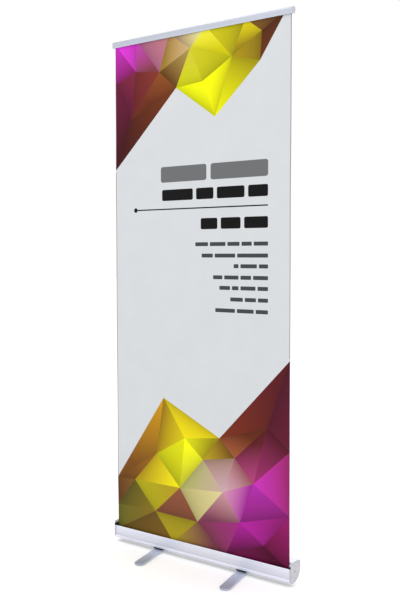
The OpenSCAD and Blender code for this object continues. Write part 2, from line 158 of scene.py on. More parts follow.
def metal(name, colour, roughness, grain_axis, grain=0.5, cloud=5.0, edge=0.7, metallic=1.0, painted_shading=()):
    """Anodised or plain aluminium and steel: drawn lines along grain_axis, faint clouding, polished edges.

    The last argument gives an axis and (place, tone) stops along it: painted shade and highlight that make
    the metal darker towards the floor or its ends.
    """
    look = Shader(name, Metallic=metallic)
    line_scale = [5.0 if axis == grain_axis else 1500.0 for axis in "xyz"]
    lines = look.noise(1.0, 4.0, 0.6, look.stretched(line_scale))
    band_scale = [2.0 if axis == grain_axis else 160.0 for axis in "xyz"]
    bands = look.noise(1.0, 2.0, 0.5, look.stretched(band_scale))
    clouds = look.noise(cloud, 3.0, 0.6)
    specks = look.ramp(look.noise(900.0, 2.0, 0.7), 0.68, 0.78)
    pattern = look.math("ADD", look.math("MULTIPLY", lines, 0.6), look.math("MULTIPLY", bands, 0.4))
    base = look.mix(look.ramp(pattern, 0.3, 0.7), shaded(colour, 0.90), shaded(colour, 1.07))
    base = look.mix(look.ramp(clouds, 0.35, 0.75, 0.0, 0.10), base, shaded(colour, 0.80))
    base = look.mix(look.math("MULTIPLY", specks, 0.25), base, shaded(colour, 0.6))
    # Painted shade and highlight: the colour is multiplied by greys set along one axis.
    if painted_shading:
        base = look.mix(1.0, base, look.tone_along(*painted_shading), "MULTIPLY")
    # Painted shade: faces marked as lying in the cassette's front groove are darkened.
    groove_shade_share = look.math("MULTIPLY", look.attribute("painted_groove_shade", "Fac"), 0.22)
    base = look.mix(groove_shade_share, base, (0.10, 0.10, 0.11, 1.0))
    scratches = look.ramp(look.noise(140.0, 4.0, 0.7), 0.35, 0.6)
    worn = look.math("MULTIPLY", look.attribute("edge", "Fac"), scratches)
    base = look.mix(look.math("MULTIPLY", worn, edge), base, shaded(colour, 1.25))
    rough = look.ramp(pattern, 0.2, 0.8, roughness - 0.07, roughness + 0.07)
    rough = look.math("ADD", rough, look.ramp(clouds, 0.3, 0.8, -0.02, 0.06))
    rough = look.math("SUBTRACT", rough, look.math("MULTIPLY", worn, 0.12))
    return look.finish(base, rough, look.bump(pattern, grain, 0.03 * MM))


def moulded(name, colour, roughness, texture=0.35, scale=2600.0, wear=None):
    """Injection-moulded plastic or rubber: fine spark-eroded texture, flow mottling, scuffed edges."""
    look = Shader(name, Specular_IOR_Level=0.45, Metallic=0.0)
    grain = look.noise(scale, 3.0, 0.6)
    flow = look.noise(14.0, 4.0, 0.6)
    base = look.mix(look.ramp(flow, 0.3, 0.7), shaded(colour, 0.93), shaded(colour, 1.05))
    base = look.mix(look.ramp(grain, 0.45, 0.8, 0.0, 0.3), base, shaded(colour, 0.85))
    scuffs = look.ramp(look.noise(200.0, 4.0, 0.7), 0.4, 0.65)
    worn = look.math("MULTIPLY", look.attribute("edge", "Fac"), scuffs)
    base = look.mix(look.math("MULTIPLY", worn, 0.6), base, wear or shaded(colour, 1.3, 0.01))
    rough = look.ramp(flow, 0.2, 0.8, roughness - 0.05, roughness + 0.06)
    rough = look.math("ADD", rough, look.ramp(grain, 0.2, 0.8, -0.04, 0.04))
    return look.finish(base, rough, look.bump(grain, texture, 0.04 * MM))


def film_print():
    """The printed side of the film: the artwork as a corner colour, under a satin laminate."""
    look = Shader("film_print", Specular_IOR_Level=0.09, Coat_Weight=0.02, Coat_Roughness=0.3)
    ink = look.attribute("print", "Color")
    dots = look.noise(1600.0, 2.0, 0.6)
    mottle = look.noise(9.0, 4.0, 0.6)
    base = look.mix(look.ramp(dots, 0.3, 0.7, 0.0, 0.05), ink, (0.02, 0.02, 0.02, 1.0))
    base = look.mix(look.ramp(mottle, 0.35, 0.75, 0.0, 1.0), base, (0.965, 0.965, 0.97, 1.0), "MULTIPLY")
    rough = look.ramp(look.noise(60.0, 3.0, 0.6), 0.3, 0.7, 0.44, 0.52)
    return look.finish(base, rough, look.bump(look.noise(700.0, 2.0, 0.5), 0.10, 0.04 * MM))


def film_back():
    """The unprinted back of the film: matt grey-white light-block coating with faint streaks."""
    look = Shader("film_back", Specular_IOR_Level=0.35)
    streaks = look.noise(1.0, 3.0, 0.6, look.stretched((34.0, 34.0, 1.6)))
    mottle = look.noise(7.0, 5.0, 0.65)
    base = look.mix(look.ramp(streaks, 0.3, 0.7), linear(204, 207, 211), linear(206, 209, 212))
    base = look.mix(look.ramp(mottle, 0.4, 0.8, 0.0, 0.25), base, linear(196, 199, 204))
    rough = look.ramp(mottle, 0.3, 0.7, 0.55, 0.62)
    return look.finish(base, rough, look.bump(look.noise(1200.0, 3.0, 0.6), 0.15, 0.04 * MM))


def felt():
    """Short black fibres pressed into a strip."""
    look = Shader("felt_black", Specular_IOR_Level=0.2, Sheen_Weight=0.6, Sheen_Roughness=0.6)
    fibres = look.noise(1.0, 5.0, 0.75, look.stretched((900.0, 2400.0, 2400.0)))
    clumps = look.noise(220.0, 3.0, 0.6)
    base = look.mix(look.ramp(fibres, 0.35, 0.7), linear(12, 12, 14), linear(46, 46, 50))
    base = look.mix(look.ramp(clumps, 0.4, 0.7, 0.0, 0.5), base, linear(22, 22, 25))
    rough = look.ramp(clumps, 0.3, 0.7, 0.85, 0.97)
    return look.finish(base, rough, look.bump(fibres, 0.6, 0.2 * MM))


def braided():
    """Woven sheath of an elastic cord: two sets of strands crossing round the cord."""
    look = Shader("braided_cord", Specular_IOR_Level=0.3, Sheen_Weight=0.3)
    strands = {"Vector": look.place, "Scale": 420.0, "Distortion": 2.0, "Detail": 2.0}
    wave = look.add("ShaderNodeTexWave", strands, wave_type="BANDS", bands_direction="DIAGONAL")
    wave = wave.outputs["Fac"]
    base = look.mix(look.ramp(wave, 0.2, 0.8), linear(24, 24, 27), linear(70, 70, 76))
    rough = look.ramp(look.noise(500.0), 0.3, 0.7, 0.6, 0.8)
    return look.finish(base, rough, look.bump(wave, 0.5, 0.2 * MM))


def tape():
    """Double-sided mounting tape with its paper-like carrier."""
    look = Shader("mounting_tape", Specular_IOR_Level=0.4)
    crepe = look.noise(1.0, 4.0, 0.6, look.stretched((500.0, 1800.0, 1800.0)))
    base = look.mix(look.ramp(crepe, 0.3, 0.7), linear(196, 190, 170), linear(222, 216, 198))
    rough = look.ramp(crepe, 0.3, 0.7, 0.35, 0.5)
    return look.finish(base, rough, look.bump(crepe, 0.3, 0.1 * MM))


# Painted shade and highlight on the cassette, standing in for reflections: darker towards its lower edge,
# lighter at its lip; height in metres and brightness.
CASSETTE_PAINTED_SHADE = ("Z", (
    (0.0142, 0.10),  # lower edge
    (0.0184, 0.96),  # lower band
    (0.0240, 1.00),
    (0.0300, 0.92),  # under the groove
    (0.0345, 0.76),  # painted shade at the foot of the face
    (0.0640, 0.92),
    (0.0690, 1.00),  # lip
))
# Painted reflection and shade on the feet: lighter in the middle, darker towards both ends.
FOOT_PAINTED_SHADE = ("Y", ((-0.205, 0.66), (-0.080, 0.98), (0.080, 0.98), (0.205, 0.66)))

looks = {
    "anodised": metal("anodised_drawn", linear(236, 238, 254), 0.43, "x",
                      metallic=0.6, painted_shading=CASSETTE_PAINTED_SHADE),
    "rail_alu": metal("anodised_rail", linear(198, 203, 215), 0.38, "x"),
    "pole_alu": metal("anodised_tube", linear(212, 214, 225), 0.32, "z"),
    "foot_alu": metal("flat_bar_alu", linear(206, 215, 233), 0.46, "y",
                      grain=0.9, edge=0.2, metallic=0.5, painted_shading=FOOT_PAINTED_SHADE),
    "cap_plastic": moulded("grey_plastic", linear(190, 187, 195), 0.50),
    "film": film_back(),
    "tape": tape(),
    "felt": felt(),
    "rubber": moulded("black_rubber", linear(26, 26, 28), 0.78, texture=0.5, scale=900.0),
    "cord": braided(),
    "steel": metal("zinc_steel", linear(196, 199, 203), 0.30, "x", grain=0.3, cloud=60.0),
    "black_plastic": moulded("black_plastic", linear(17, 17, 19), 0.52, wear=linear(52, 52, 56)),
}
print_look = film_print()


# ---------- mesh helpers ----------

# The shadow groove along the cassette's front: its heights, and how far back its floor lies.
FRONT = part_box("cassette_front")[0].y
GROOVE_LOW, GROOVE_HIGH, GROOVE_BACK = 0.0312, 0.0342, FRONT + 0.0026

# Finished copies of CAD parts: points closer than WELD are joined, faces that meet flatter than
# FLAT_DEGREES are merged, and edges sharper than SHARP_DEGREES are rounded off.
WELD = 0.002 * MM
FLAT_DEGREES, SHARP_DEGREES = 0.4, 38.0
BEVEL_SEGMENTS = 2


def new_piece(name, verts, faces, materials, body, smooth_angle=35.0):
    """A mesh piece on a CAD body. Edges sharper than smooth_angle stay crisp."""
    mesh = bpy.data.meshes.new(name)
    mesh.from_pydata([tuple(v) for v in verts], [], faces)
    return settle(name, mesh, materials, body, smooth_angle)


def settle(name, mesh, materials, body, smooth_angle=35.0):
    """Make a mesh a piece of the model, with its shading, materials and body."""
    for polygon in mesh.polygons:
        polygon.use_smooth = True
    bm = bmesh.new()
    bm.from_mesh(mesh)
    for edge in bm.edges:
        edge.smooth = len(edge.link_faces) == 2 and edge.calc_face_angle(0.0) < math.radians(smooth_angle)
    bm.to_mesh(mesh)
    bm.free()
    piece = bpy.data.objects.new(name, mesh)
    bpy.context.scene.collection.objects.link(piece)
    for material in materials:
        mesh.materials.append(material)
    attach(piece, body)
    return piece


def in_groove(node, face):
    """Whether a face lies in the shadow groove along the cassette's front."""
    middle = face.calc_center_median()
    return node == "cassette_front" and GROOVE_LOW < middle.z < GROOVE_HIGH and middle.y < GROOVE_BACK


def rounded_copy(node, width):
    """A finished copy of a CAD node: triangles merged into flat faces and every sharp edge rounded off."""
    bm = bmesh.new()
    bm.from_mesh(frame["nodes"][node].data)
    bmesh.ops.remove_doubles(bm, verts=bm.verts, dist=WELD)
    bmesh.ops.dissolve_limit(bm, angle_limit=math.radians(FLAT_DEGREES), verts=bm.verts, edges=bm.edges)
    least = math.radians(SHARP_DEGREES)
    sharp = [e for e in bm.edges if len(e.link_faces) == 2 and e.calc_face_angle(0.0) > least]
    made = bmesh.ops.bevel(bm, geom=sharp, offset=width, offset_type="OFFSET", segments=BEVEL_SEGMENTS,
                           profile=0.5, affect="EDGES", clamp_overlap=True, loop_slide=True)
    edge = bm.faces.layers.float.new("edge")
    for face in made["faces"]:
        if face.is_valid:
            face[edge] = 1.0
    # Painted shade: faces in the front groove are marked, so that their colour is darkened.
    painted_groove_shade = bm.faces.layers.float.new("painted_groove_shade")
    for face in bm.faces:
        face[painted_groove_shade] = 1.0 if in_groove(node, face) else 0.0
    bmesh.ops.recalc_face_normals(bm, faces=bm.faces)
    mesh = bpy.data.meshes.new(node + "_fine")
    bm.to_mesh(mesh)
    bm.free()
    piece = settle(node + "_fine", mesh, [looks[slot_of[node]]], body_of[node])
    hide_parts(node)


def tube_along(points, radius_at, sides):
    """Rings of a closed tube along a list of points, with flat ends."""
    verts, faces = [], []
    side = Vector((0.0, 0.0, 1.0))
    for i, point in enumerate(points):
        ahead = points[min(i + 1, len(points) - 1)] - points[max(i - 1, 0)]
        ahead.normalize()
        side = (side - ahead * side.dot(ahead)).normalized()
        other = ahead.cross(side)
        for k in range(sides):
            turn = 2 * math.pi * k / sides
            verts.append(point + (side * math.cos(turn) + other * math.sin(turn)) * radius_at(i, k))
    for i in range(len(points) - 1):
        for k in range(sides):
            n = (k + 1) % sides
            faces.append((i * sides + k, i * sides + n, (i + 1) * sides + n, (i + 1) * sides + k))
    last = (len(points) - 1) * sides
    faces.append(tuple(reversed(range(sides))))
    faces.append(tuple(last + k for k in range(sides)))
    return verts, faces


def strip_along_x(section, stations, shift):
    """A closed strip: a (y, z) section repeated at each x, each point moved by shift(x, y, z)."""
    verts, faces = [], []
    count = len(section)
    for x in stations:
        for y, z in section:
            verts.append(Vector((x, y, z)) + shift(x, y, z))
    for i in range(len(stations) - 1):
        for k in range(count):
            n = (k + 1) % count
            faces.append((i * count + k, (i + 1) * count + k, (i + 1) * count + n, i * count + n))
    last = (len(stations) - 1) * count
    faces.append(tuple(range(count)))
    faces.append(tuple(last + k for k in reversed(range(count))))
    return verts, faces


# ---------- artwork on the film ----------

# Places are in millimetres on the film: across from its left edge, and up from the cassette's lip.

FILM_LOW, FILM_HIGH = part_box("banner")
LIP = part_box("cassette_front")[1].z
FILM_W = (FILM_HIGH.x - FILM_LOW.x) / MM
BOTTOM = (FILM_LOW.z - LIP) / MM
TOP = (FILM_HIGH.z - LIP) / MM
PAPER = (205, 208, 211)

# Each faceted corner has an outline, a few points inside it, and inks: places, each with its colour.
LOWER_OUTLINE = [(0, BOTTOM), (0, 208), (252, 570), (532, 440), (FILM_W, 764), (FILM_W, BOTTOM)]
LOWER_INSIDE = [(0, 92), (96, 210), (206, 96), (214, 336), (360, 418), (300, BOTTOM), (336, 214), (424, 92),
                (452, 344), (548, 232), (560, BOTTOM), (604, 372), (628, 128), (690, 286), (736, 60),
                (FILM_W, 430), (FILM_W, 190), (752, 506)]
LOWER_INKS = [
    (0, 0, (108, 110, 30)), (0, 200, (96, 44, 22)), (60, 120, (112, 104, 26)),
    (110, 290, (140, 86, 20)), (190, 400, (176, 122, 20)), (252, 560, (214, 160, 18)),
    (340, 480, (222, 200, 10)), (390, 380, (236, 242, 0)), (300, 300, (222, 220, 4)),
    (220, 200, (204, 200, 8)), (470, 420, (196, 176, 10)), (200, 20, (126, 90, 26)),
    (330, 60, (158, 144, 20)), (310, 140, (132, 70, 54)), (430, 220, (214, 214, 138)),
    (540, 290, (202, 166, 176)), (470, 60, (136, 66, 82)), (560, 30, (120, 34, 88)),
    (600, 400, (162, 88, 52)), (560, 400, (150, 104, 20)), (650, 500, (110, 40, 14)),
    (800, 690, (104, 42, 12)), (740, 540, (92, 28, 18)), (720, 450, (88, 14, 30)),
    (810, 560, (108, 22, 56)), (840, 340, (172, 40, 118)), (700, 240, (192, 46, 184)),
    (660, 130, (168, 28, 152)), (640, 10, (116, 14, 78)), (740, 20, (88, 4, 44)),
    (840, 90, (140, 16, 86)), (790, 180, (168, 30, 136)),
]
UPPER_OUTLINE = [(0, TOP), (0, 1498), (322, 1802), (512, 1672), (716, 1856), (826, TOP)]
UPPER_INSIDE = [(118, TOP), (0, 1850), (112, 1890), (84, 1700), (236, 1874), (288, TOP), (392, 1946),
                (470, TOP), (452, 1812), (590, 1888), (650, TOP), (724, 1962)]
UPPER_INKS = [
    (0, 2010, (196, 44, 190)), (100, 1960, (190, 52, 178)), (0, 1860, (150, 26, 108)),
    (50, 1750, (108, 18, 58)), (0, 1540, (82, 14, 32)), (130, 1700, (78, 22, 12)),
    (280, 1800, (114, 56, 12)), (150, 1830, (112, 34, 36)), (190, 1990, (188, 106, 148)),
    (250, 1910, (160, 128, 34)), (330, 2000, (178, 142, 116)), (410, 2005, (212, 212, 134)),
    (440, 1820, (236, 242, 0)), (512, 1690, (230, 236, 0)), (500, 1930, (216, 208, 4)),
    (590, 1800, (232, 228, 2)), (620, 2000, (210, 198, 10)), (660, 1890, (164, 140, 16)),
    (730, 1990, (126, 80, 38)), (770, 1930, (100, 34, 14)),
]

# Plain bars stand where text would and end at TEXT_RIGHT: bottom, height, word gap, colour, word lengths.
HEADING_INK, TITLE_INK, LIST_INK = (106, 107, 109), (10, 10, 12), (64, 66, 69)
TEXT_RIGHT = 753
TEXT_BARS = [
    (1435, 62, 20, HEADING_INK, (228, 262)),
    (1362, 44, 16, TITLE_INK, (156, 84, 128, 88)),
    (1246, 43, 16, TITLE_INK, (80, 92, 106)),
    (1181, 15, 9, LIST_INK, (62, 74, 56, 46, 63)),
    (1137, 15, 9, LIST_INK, (54, 96, 138)),
    (1097, 15, 9, LIST_INK, (22, 74, 40)),
    (1054, 15, 9, LIST_INK, (44, 66, 48, 66)),
    (1014, 15, 9, LIST_INK, (50, 30, 68, 46)),
    (971, 15, 9, LIST_INK, (58, 50, 44)),
    (928, 15, 9, LIST_INK, (92, 76, 54)),
]
BAR_ROUNDING = 0.16

# The rule between the bars and the round dot that ends it.
RULE_LEFT, RULE_V, RULE_HALF, RULE_INK = 108, 1329, 2.6, (26, 26, 28)
DOT_R, DOT_STEPS, DOT_INK = 9.5, 8, (20, 20, 22)

# Where the facets don't reach a side of the film, a fine dark line of painted shade runs along its cut
# edge: left side, bottom, top.
EDGE_SHADE_W, EDGE_SHADE_INK = 3.0, (112, 114, 118)
EDGE_SHADE_LINES = ((0, 214, 1490), (FILM_W - EDGE_SHADE_W, 770, TOP))

# How inks blend: each is weaker with distance, over INK_REACH and by a power of INK_POWER.
INK_REACH, INK_POWER = 12.0, 5
# A facet's tone and how far it strays, its tone at the far end, and how far its gradient spreads.
TONE, TONE_SWING, FAR_TONE, SPREAD = 1.02, 0.26, 0.88, 0.55
# The noise that a facet's tone follows: its scale across and up, and its seed.
TONE_U, TONE_V, TONE_SEED = 0.021, 0.027, 4.0
# The shadow along a facet's fold, and its reach: a share of the facet and a little more.
FOLD, FOLD_SHARE, FOLD_LEAST = 0.26, 0.12, 6.0


class Region:
    """A convex patch of print: its outline, a colour gradient, and a soft fold shadow along one edge."""

    def __init__(self, outline, start, end, fold=0.0):
        self.outline = np.array(outline, float)
        self.start = np.array(linear(*start)[:3])
        self.end = np.array(linear(*end)[:3])
        self.fold = fold
        self.origin = self.outline[0]
        self.axis = (self.outline[1] + self.outline[-1]) / 2 - self.origin

    def holds(self, points):
        """Which of the points lie inside the outline."""
        inside = np.ones(len(points), bool)
        turning = 0.0
        for a, b in zip(self.outline, np.roll(self.outline, -1, 0)):
            turning += a[0] * b[1] - a[1] * b[0]
        for a, b in zip(self.outline, np.roll(self.outline, -1, 0)):
            side = (b[0] - a[0]) * (points[:, 1] - a[1]) - (b[1] - a[1]) * (points[:, 0] - a[0])
            inside &= side * math.copysign(1, turning) > 0
        return inside

    def colour(self, points):
        """The linear colour at each point."""
        share = np.clip((points - self.origin) @ self.axis / (self.axis @ self.axis), 0, 1)[:, None]
        mixed = self.start * (1 - share) + self.end * share
        if self.fold:
            a, b = self.outline[1], self.outline[2]
            along = (b - a) / np.linalg.norm(b - a)
            away = np.abs((points - a) @ np.array([-along[1], along[0]]))
            reach = FOLD_SHARE * np.linalg.norm(self.axis) + FOLD_LEAST
            mixed = mixed * (1 - self.fold * np.exp(-away / reach))[:, None]
        return mixed


def rounded_bar(left, low, length, height, radius, corner_steps=4):
    """The outline of a bar with rounded corners, from its upper right corner round to the left."""
    right, high = left + length, low + height
    centres = [(right - radius, high - radius), (left + radius, high - radius),
               (left + radius, low + radius), (right - radius, low + radius)]
    points = []
    for quarter, (u, v) in enumerate(centres):
        for step in range(corner_steps + 1):
            turn = math.radians(90 * quarter + 90 * step / corner_steps)
            points.append((u + radius * math.cos(turn), v + radius * math.sin(turn)))
    return points


def ink_at(inks, u, v):
    """The blend of the inks round one place, each weaker with distance."""
    total, weights = np.zeros(3), 0.0
    for place_u, place_v, colour in inks:
        weight = 1.0 / (math.hypot(u - place_u, v - place_v) + INK_REACH) ** INK_POWER
        total += weight * np.array(colour, float)
        weights += weight
    return total / weights


def faceted(outline, inside, inks):
    """Triangles between the outline and the points in it, each with its own tone and a gradient."""
    places = outline + inside
    loop = [(i, (i + 1) % len(outline)) for i in range(len(outline))]
    points, _, triangles, _, _, _ = delaunay_2d_cdt([Vector(p) for p in places], loop, [], 0, 1e-3, False)
    facets = []
    for triangle in triangles:
        corners = [tuple(points[i]) for i in triangle]
        middle = np.mean(corners, axis=0)
        if not inside_loop(outline, middle):
            continue
        tone = TONE + TONE_SWING * noise.noise(Vector((middle[0] * TONE_U, middle[1] * TONE_V, TONE_SEED)))
        first = max(range(3), key=lambda k: ink_at(inks, *corners[k]).sum())
        corners = corners[first:] + corners[:first]
        far = (np.array(corners[1]) + np.array(corners[2])) / 2
        start = ink_at(inks, *(np.array(corners[0]) * SPREAD + middle * (1 - SPREAD))) * tone
        end = ink_at(inks, *(far * SPREAD + middle * (1 - SPREAD))) * tone * FAR_TONE
        facets.append(Region(corners, np.clip(start, 0, 255), np.clip(end, 0, 255), FOLD))
    return facets


def inside_loop(loop, point):
    """Whether a point lies in a closed outline, by counting the crossings on one side of it."""
    crossings = 0
    for (u0, v0), (u1, v1) in zip(loop, loop[1:] + loop[:1]):
        if (v0 > point[1]) != (v1 > point[1]):
            crossings += u0 + (u1 - u0) * (point[1] - v0) / (v1 - v0) > point[0]
    return crossings % 2 == 1


def print_regions():
    """All patches of print, the later ones on top."""
    regions = faceted(LOWER_OUTLINE, LOWER_INSIDE, LOWER_INKS)
    regions += faceted(UPPER_OUTLINE, UPPER_INSIDE, UPPER_INKS)
    for low, height, gap, colour, lengths in TEXT_BARS:
        right = TEXT_RIGHT
        for length in reversed(lengths):
            bar = rounded_bar(right - length, low, length, height, height * BAR_ROUNDING)
            regions.append(Region(bar, colour, colour))
            right -= length + gap
    length = TEXT_RIGHT - RULE_LEFT
    rule = rounded_bar(RULE_LEFT, RULE_V - RULE_HALF, length, 2 * RULE_HALF, RULE_HALF * 0.9)
    dot = rounded_bar(RULE_LEFT - DOT_R, RULE_V - DOT_R, 2 * DOT_R, 2 * DOT_R, DOT_R * 0.999, DOT_STEPS)
    regions.append(Region(rule, RULE_INK, RULE_INK))
    regions.append(Region(dot, DOT_INK, DOT_INK))
    # Painted shade: fine dark lines along the film's cut edges.
    for left, low, high in EDGE_SHADE_LINES:
        line = [(left, low), (left + EDGE_SHADE_W, low), (left + EDGE_SHADE_W, high), (left, high)]
        regions.append(Region(line, EDGE_SHADE_INK, EDGE_SHADE_INK))
    return regions


def clear_of(points, segments, margin):
    """Which points lie further than margin from every segment."""
    keep = np.ones(len(points), bool)
    for a, b in segments:
        a, b = np.array(a, float), np.array(b, float)
        d = b - a
        t = np.clip((points - a) @ d / max(d @ d, 1e-9), 0, 1)[:, None]
        keep &= np.linalg.norm(points - (a + t * d), axis=1) > margin
    return keep


def lattice(low, high, step):
    """Points in staggered rows, a step apart, between two heights."""
    even_start, odd_start, margin, row_gap = step * 0.45, step * 0.9, step * 0.3, step * 0.87
    rows = []
    v, odd = low + step / 2, False
    while v < high:
        u = odd_start if odd else even_start
        while u < FILM_W - margin:
            rows.append((u, v))
            u += step
        v += row_gap
        odd = not odd
    return rows


def clipped(a, b, low, high):
    """The part of segment a-b between heights low and high, or None."""
    a, b = tuple(a), tuple(b)
    if a[1] > b[1]:
        a, b = b, a
    if b[1] < low or a[1] > high:
        return None
    if a[1] < low:
        a = (a[0] + (b[0] - a[0]) * (low - a[1]) / (b[1] - a[1]), low)
    if b[1] > high:
        b = (a[0] + (b[0] - a[0]) * (high - a[1]) / (b[1] - a[1]), high)
    return (a, b) if math.dist(a, b) >= 1e-6 else None


# The film's mesh, in millimetres: fine where it is faceted and coarse between, with no long edge.
FACETS_LOW, FACETS_HIGH = 760, 1490
FINE, COARSE, LONGEST_EDGE = 9, 32, 16.0
CLEARANCE = 3.0


def print_edges(regions, low, high):
    """The film's border and every patch's outline, as segments between heights low and high."""
    corners = [(0, low), (FILM_W, low), (FILM_W, high), (0, high)]
    edges = list(zip(corners, corners[1:] + corners[:1]))
    for region in regions:
        heights = np.clip(region.outline[:, 1], low, high)
        if heights.max() <= low or heights.min() >= high:
            continue
        for a, b in zip(region.outline, np.roll(region.outline, -1, 0)):
            edge = clipped(a, b, low, high)
            if edge:
                edges.append(edge)
    return edges


def triangulated(edges, low, high):
    """Points and triangles that fill the film between two heights and keep every edge."""
    inner = []
    zones = ((low, min(high, FACETS_LOW), FINE), (FACETS_LOW, min(high, FACETS_HIGH), COARSE),
             (FACETS_HIGH, high, FINE))
    for bottom, top, step in zones:
        if top > max(bottom, low):
            inner += lattice(max(bottom, low), top, step)
    inner = np.array(inner, float)
    inner = inner[clear_of(inner, edges, CLEARANCE)]
    places, links = [], []
    for a, b in edges:
        stretches = max(1, math.ceil(math.dist(a, b) / LONGEST_EDGE))
        links += [(len(places) + i, len(places) + i + 1) for i in range(stretches)]
        places += [Vector(place) for place in np.linspace(a, b, stretches + 1)]
    places += [Vector(place) for place in inner]
    points, _, triangles, _, _, _ = delaunay_2d_cdt(places, links, [], 0, 1e-3, False)
    return np.array([tuple(point) for point in points]), np.array(triangles, int)


def inked(regions, points, triangles):
    """The colour of each triangle's three corners, from the topmost patch there or the bare film."""
    middles = points[triangles].mean(1)
    owner = np.full(len(triangles), -1)
    for number, region in enumerate(regions):
        owner[region.holds(middles)] = number
    ink = np.ones((len(triangles), 3, 4))
    ink[..., :3] = linear(*PAPER)[:3]
    for number, region in enumerate(regions):
        mine = owner == number
        if mine.any():
            corners = points[triangles[mine]].reshape(-1, 2)
            ink[mine, :, :3] = region.colour(corners).reshape(-1, 3, 3)
    return ink


# The film's slack, in millimetres: where it begins and ends and over how much it fades in and out,
# the waves in it, and the curl of its two edges.
SLACK_LOW, SLACK_HIGH, FADE_LOW, FADE_HIGH = 10, 1680, 260, 320
WAVE, WAVE_LENGTH, WAVE_SLANT, WAVE_PHASE = 0.55, 690, 2100, 0.18
CURL, CURL_REACH = 1.5, 26


def film_bow(u, v):
    """How far the film stands forward of its plane: slack waves, and edges that curl forward.

    The uppermost 320 mm hang straight, because that much lies inside the rail once the rail is down.
    """
    slack = max(0.0, min(1.0, (v - SLACK_LOW) / FADE_LOW, (SLACK_HIGH - v) / FADE_HIGH))
    slack = slack * slack * (3 - 2 * slack)
    sway = WAVE * (1 - math.cos(2 * math.pi * (v / WAVE_LENGTH + u / WAVE_SLANT + WAVE_PHASE)))
    edge = math.exp(-u / CURL_REACH) + math.exp(-(FILM_W - u) / CURL_REACH)
    return slack * (sway + CURL * edge)


def faces_back(front, triangle):
    """Whether a triangle of the film's front turns its face to the back, +Y."""
    a, b, c = (Vector(front[corner]) for corner in triangle)
    return (b - a).cross(c - a).y > 0


def film_piece(name, low, high, forward, body):
    """A printed sheet of film from height low to high, pushed forward of the film's middle plane."""
    regions = print_regions()
    points, triangles = triangulated(print_edges(regions, low, high), low, high)
    ink = inked(regions, points, triangles)
    middle_y = (FILM_LOW.y + FILM_HIGH.y) / 2 - forward * MM
    half = (FILM_HIGH.y - FILM_LOW.y) / 2
    front, back = [], []
    for u, v in points:
        x, z = FILM_LOW.x + u * MM, LIP + v * MM
        y = middle_y - film_bow(u, v) * MM
        front.append((x, y - half, z))
        back.append((x, y + half, z))
    printed = [tuple(triangle) for triangle in triangles]
    if faces_back(front, triangles[0]):
        printed = [tuple(reversed(face)) for face in printed]
        ink = ink[:, ::-1]
    count = len(points)
    sides = dict.fromkeys(side for face in printed for side in zip(face, face[1:] + face[:1]))
    rim = [(a, b) for a, b in sides if (b, a) not in sides]
    faces = printed + [tuple(i + count for i in reversed(face)) for face in printed]
    faces += [(b, a, a + count, b + count) for a, b in rim]
    mesh = bpy.data.meshes.new(name)
    mesh.from_pydata(front + back, [], faces)
    colours = np.ones((len(mesh.loops), 4))
    colours[:len(printed) * 3] = ink.reshape(-1, 4)
    layer = mesh.color_attributes.new("print", "FLOAT_COLOR", "CORNER")
    layer.data.foreach_set("color", colours.astype(np.float32).ravel())
    for i in range(len(printed), len(faces)):
        mesh.polygons[i].material_index = 1
    return settle(name, mesh, [print_look, looks["film"]], body)


# The film is one length from the roller up to the rail. Its top hem stays in the rail as the rest rolls in.
# The hem lies behind the film, which ends a little way up inside the rail.
HEM_LOW, HEM_OVERLAP, HEM_FORWARD = 1978.0, 28.0, -0.24
film = film_piece("film_panel", BOTTOM, HEM_LOW + HEM_OVERLAP, 0.0, "base")
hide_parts("banner")
hem = film_piece("film_top", HEM_LOW, TOP, HEM_FORWARD, "rail")


# ---------- small pieces of their own ----------

def leader_turn():
    """The last turn of film on the roller, a thin spiral whose outer end meets the hanging film."""
    low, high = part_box("leader_wrap")
    centre = (low + high) / 2
    outer = (high.z - low.z) / 2
    thick, sink, steps = 0.18 * MM, 0.15 * MM, 96
    first_degrees, sweep_degrees = 180, 366
    spiral = []
    for step in range(steps + 1):
        turn = math.radians(first_degrees - sweep_degrees * step / steps)
        spiral.append((outer - sink * step / steps, turn))
    ring = [(centre.y + r * math.cos(t), centre.z + r * math.sin(t)) for r, t in spiral]
    ring += [(centre.y + (r - thick) * math.cos(t), centre.z + (r - thick) * math.sin(t))
             for r, t in reversed(spiral)]
    verts, faces = [], []
    for x in (low.x, high.x):
        verts += [(x, y, z) for y, z in ring]
    count = len(ring)
    for k in range(count):
        n = (k + 1) % count
        faces.append((k, n, count + n, count + k))
    for k in range(count // 2 - 1):
        a, b = k, count - 1 - k
        faces.append((k + 1, k, b, b - 1))
        faces.append((count + k, count + k + 1, count + b - 1, count + b))
    piece = new_piece("film_leader", verts, faces, [looks["film"]], "roller")
    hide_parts("leader_wrap")


def coil_spring():
    """The counterbalance spring as one length of wire wound round the arbor."""
    low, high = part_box("torsion_spring")
    centre = (low + high) / 2
    wire = 1.1 * MM
    outer = (high.z - low.z) / 2 - wire
    turns, per_turn, sides = 34, 22, 8
    points = []
    for i in range(turns * per_turn + 1):
        share = i / (turns * per_turn)
        turn = 2 * math.pi * i / per_turn
        x = low.x + wire + (high.x - low.x - 2 * wire) * share
        points.append(Vector((x, centre.y + outer * math.cos(turn), centre.z + outer * math.sin(turn))))
    verts, faces = tube_along(points, lambda i, k: wire * 0.98, sides)
    piece = new_piece("coil_spring", verts, faces, [looks["steel"]], "roller")
    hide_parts("torsion_spring")


def elastic_cord():
    """The pole's inner cord: a braided sheath with a raised cross-hatch."""
    low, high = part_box("pole_cord")
    centre = (low + high) / 2
    radius = (high.x - low.x) / 2
    rings, sides = 520, 12
    rise = high.z - low.z
    points = [Vector((centre.x, centre.y, low.z + rise * i / (rings - 1))) for i in range(rings)]

    def braid(i, k):
        weave = math.cos(math.pi * (i + k)) * 0.06
        return radius * (0.93 + weave)

    verts, faces = tube_along(points, braid, sides)
    piece = new_piece("elastic_cord", verts, faces, [looks["cord"]], "pole", 80)
    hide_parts("pole_cord")


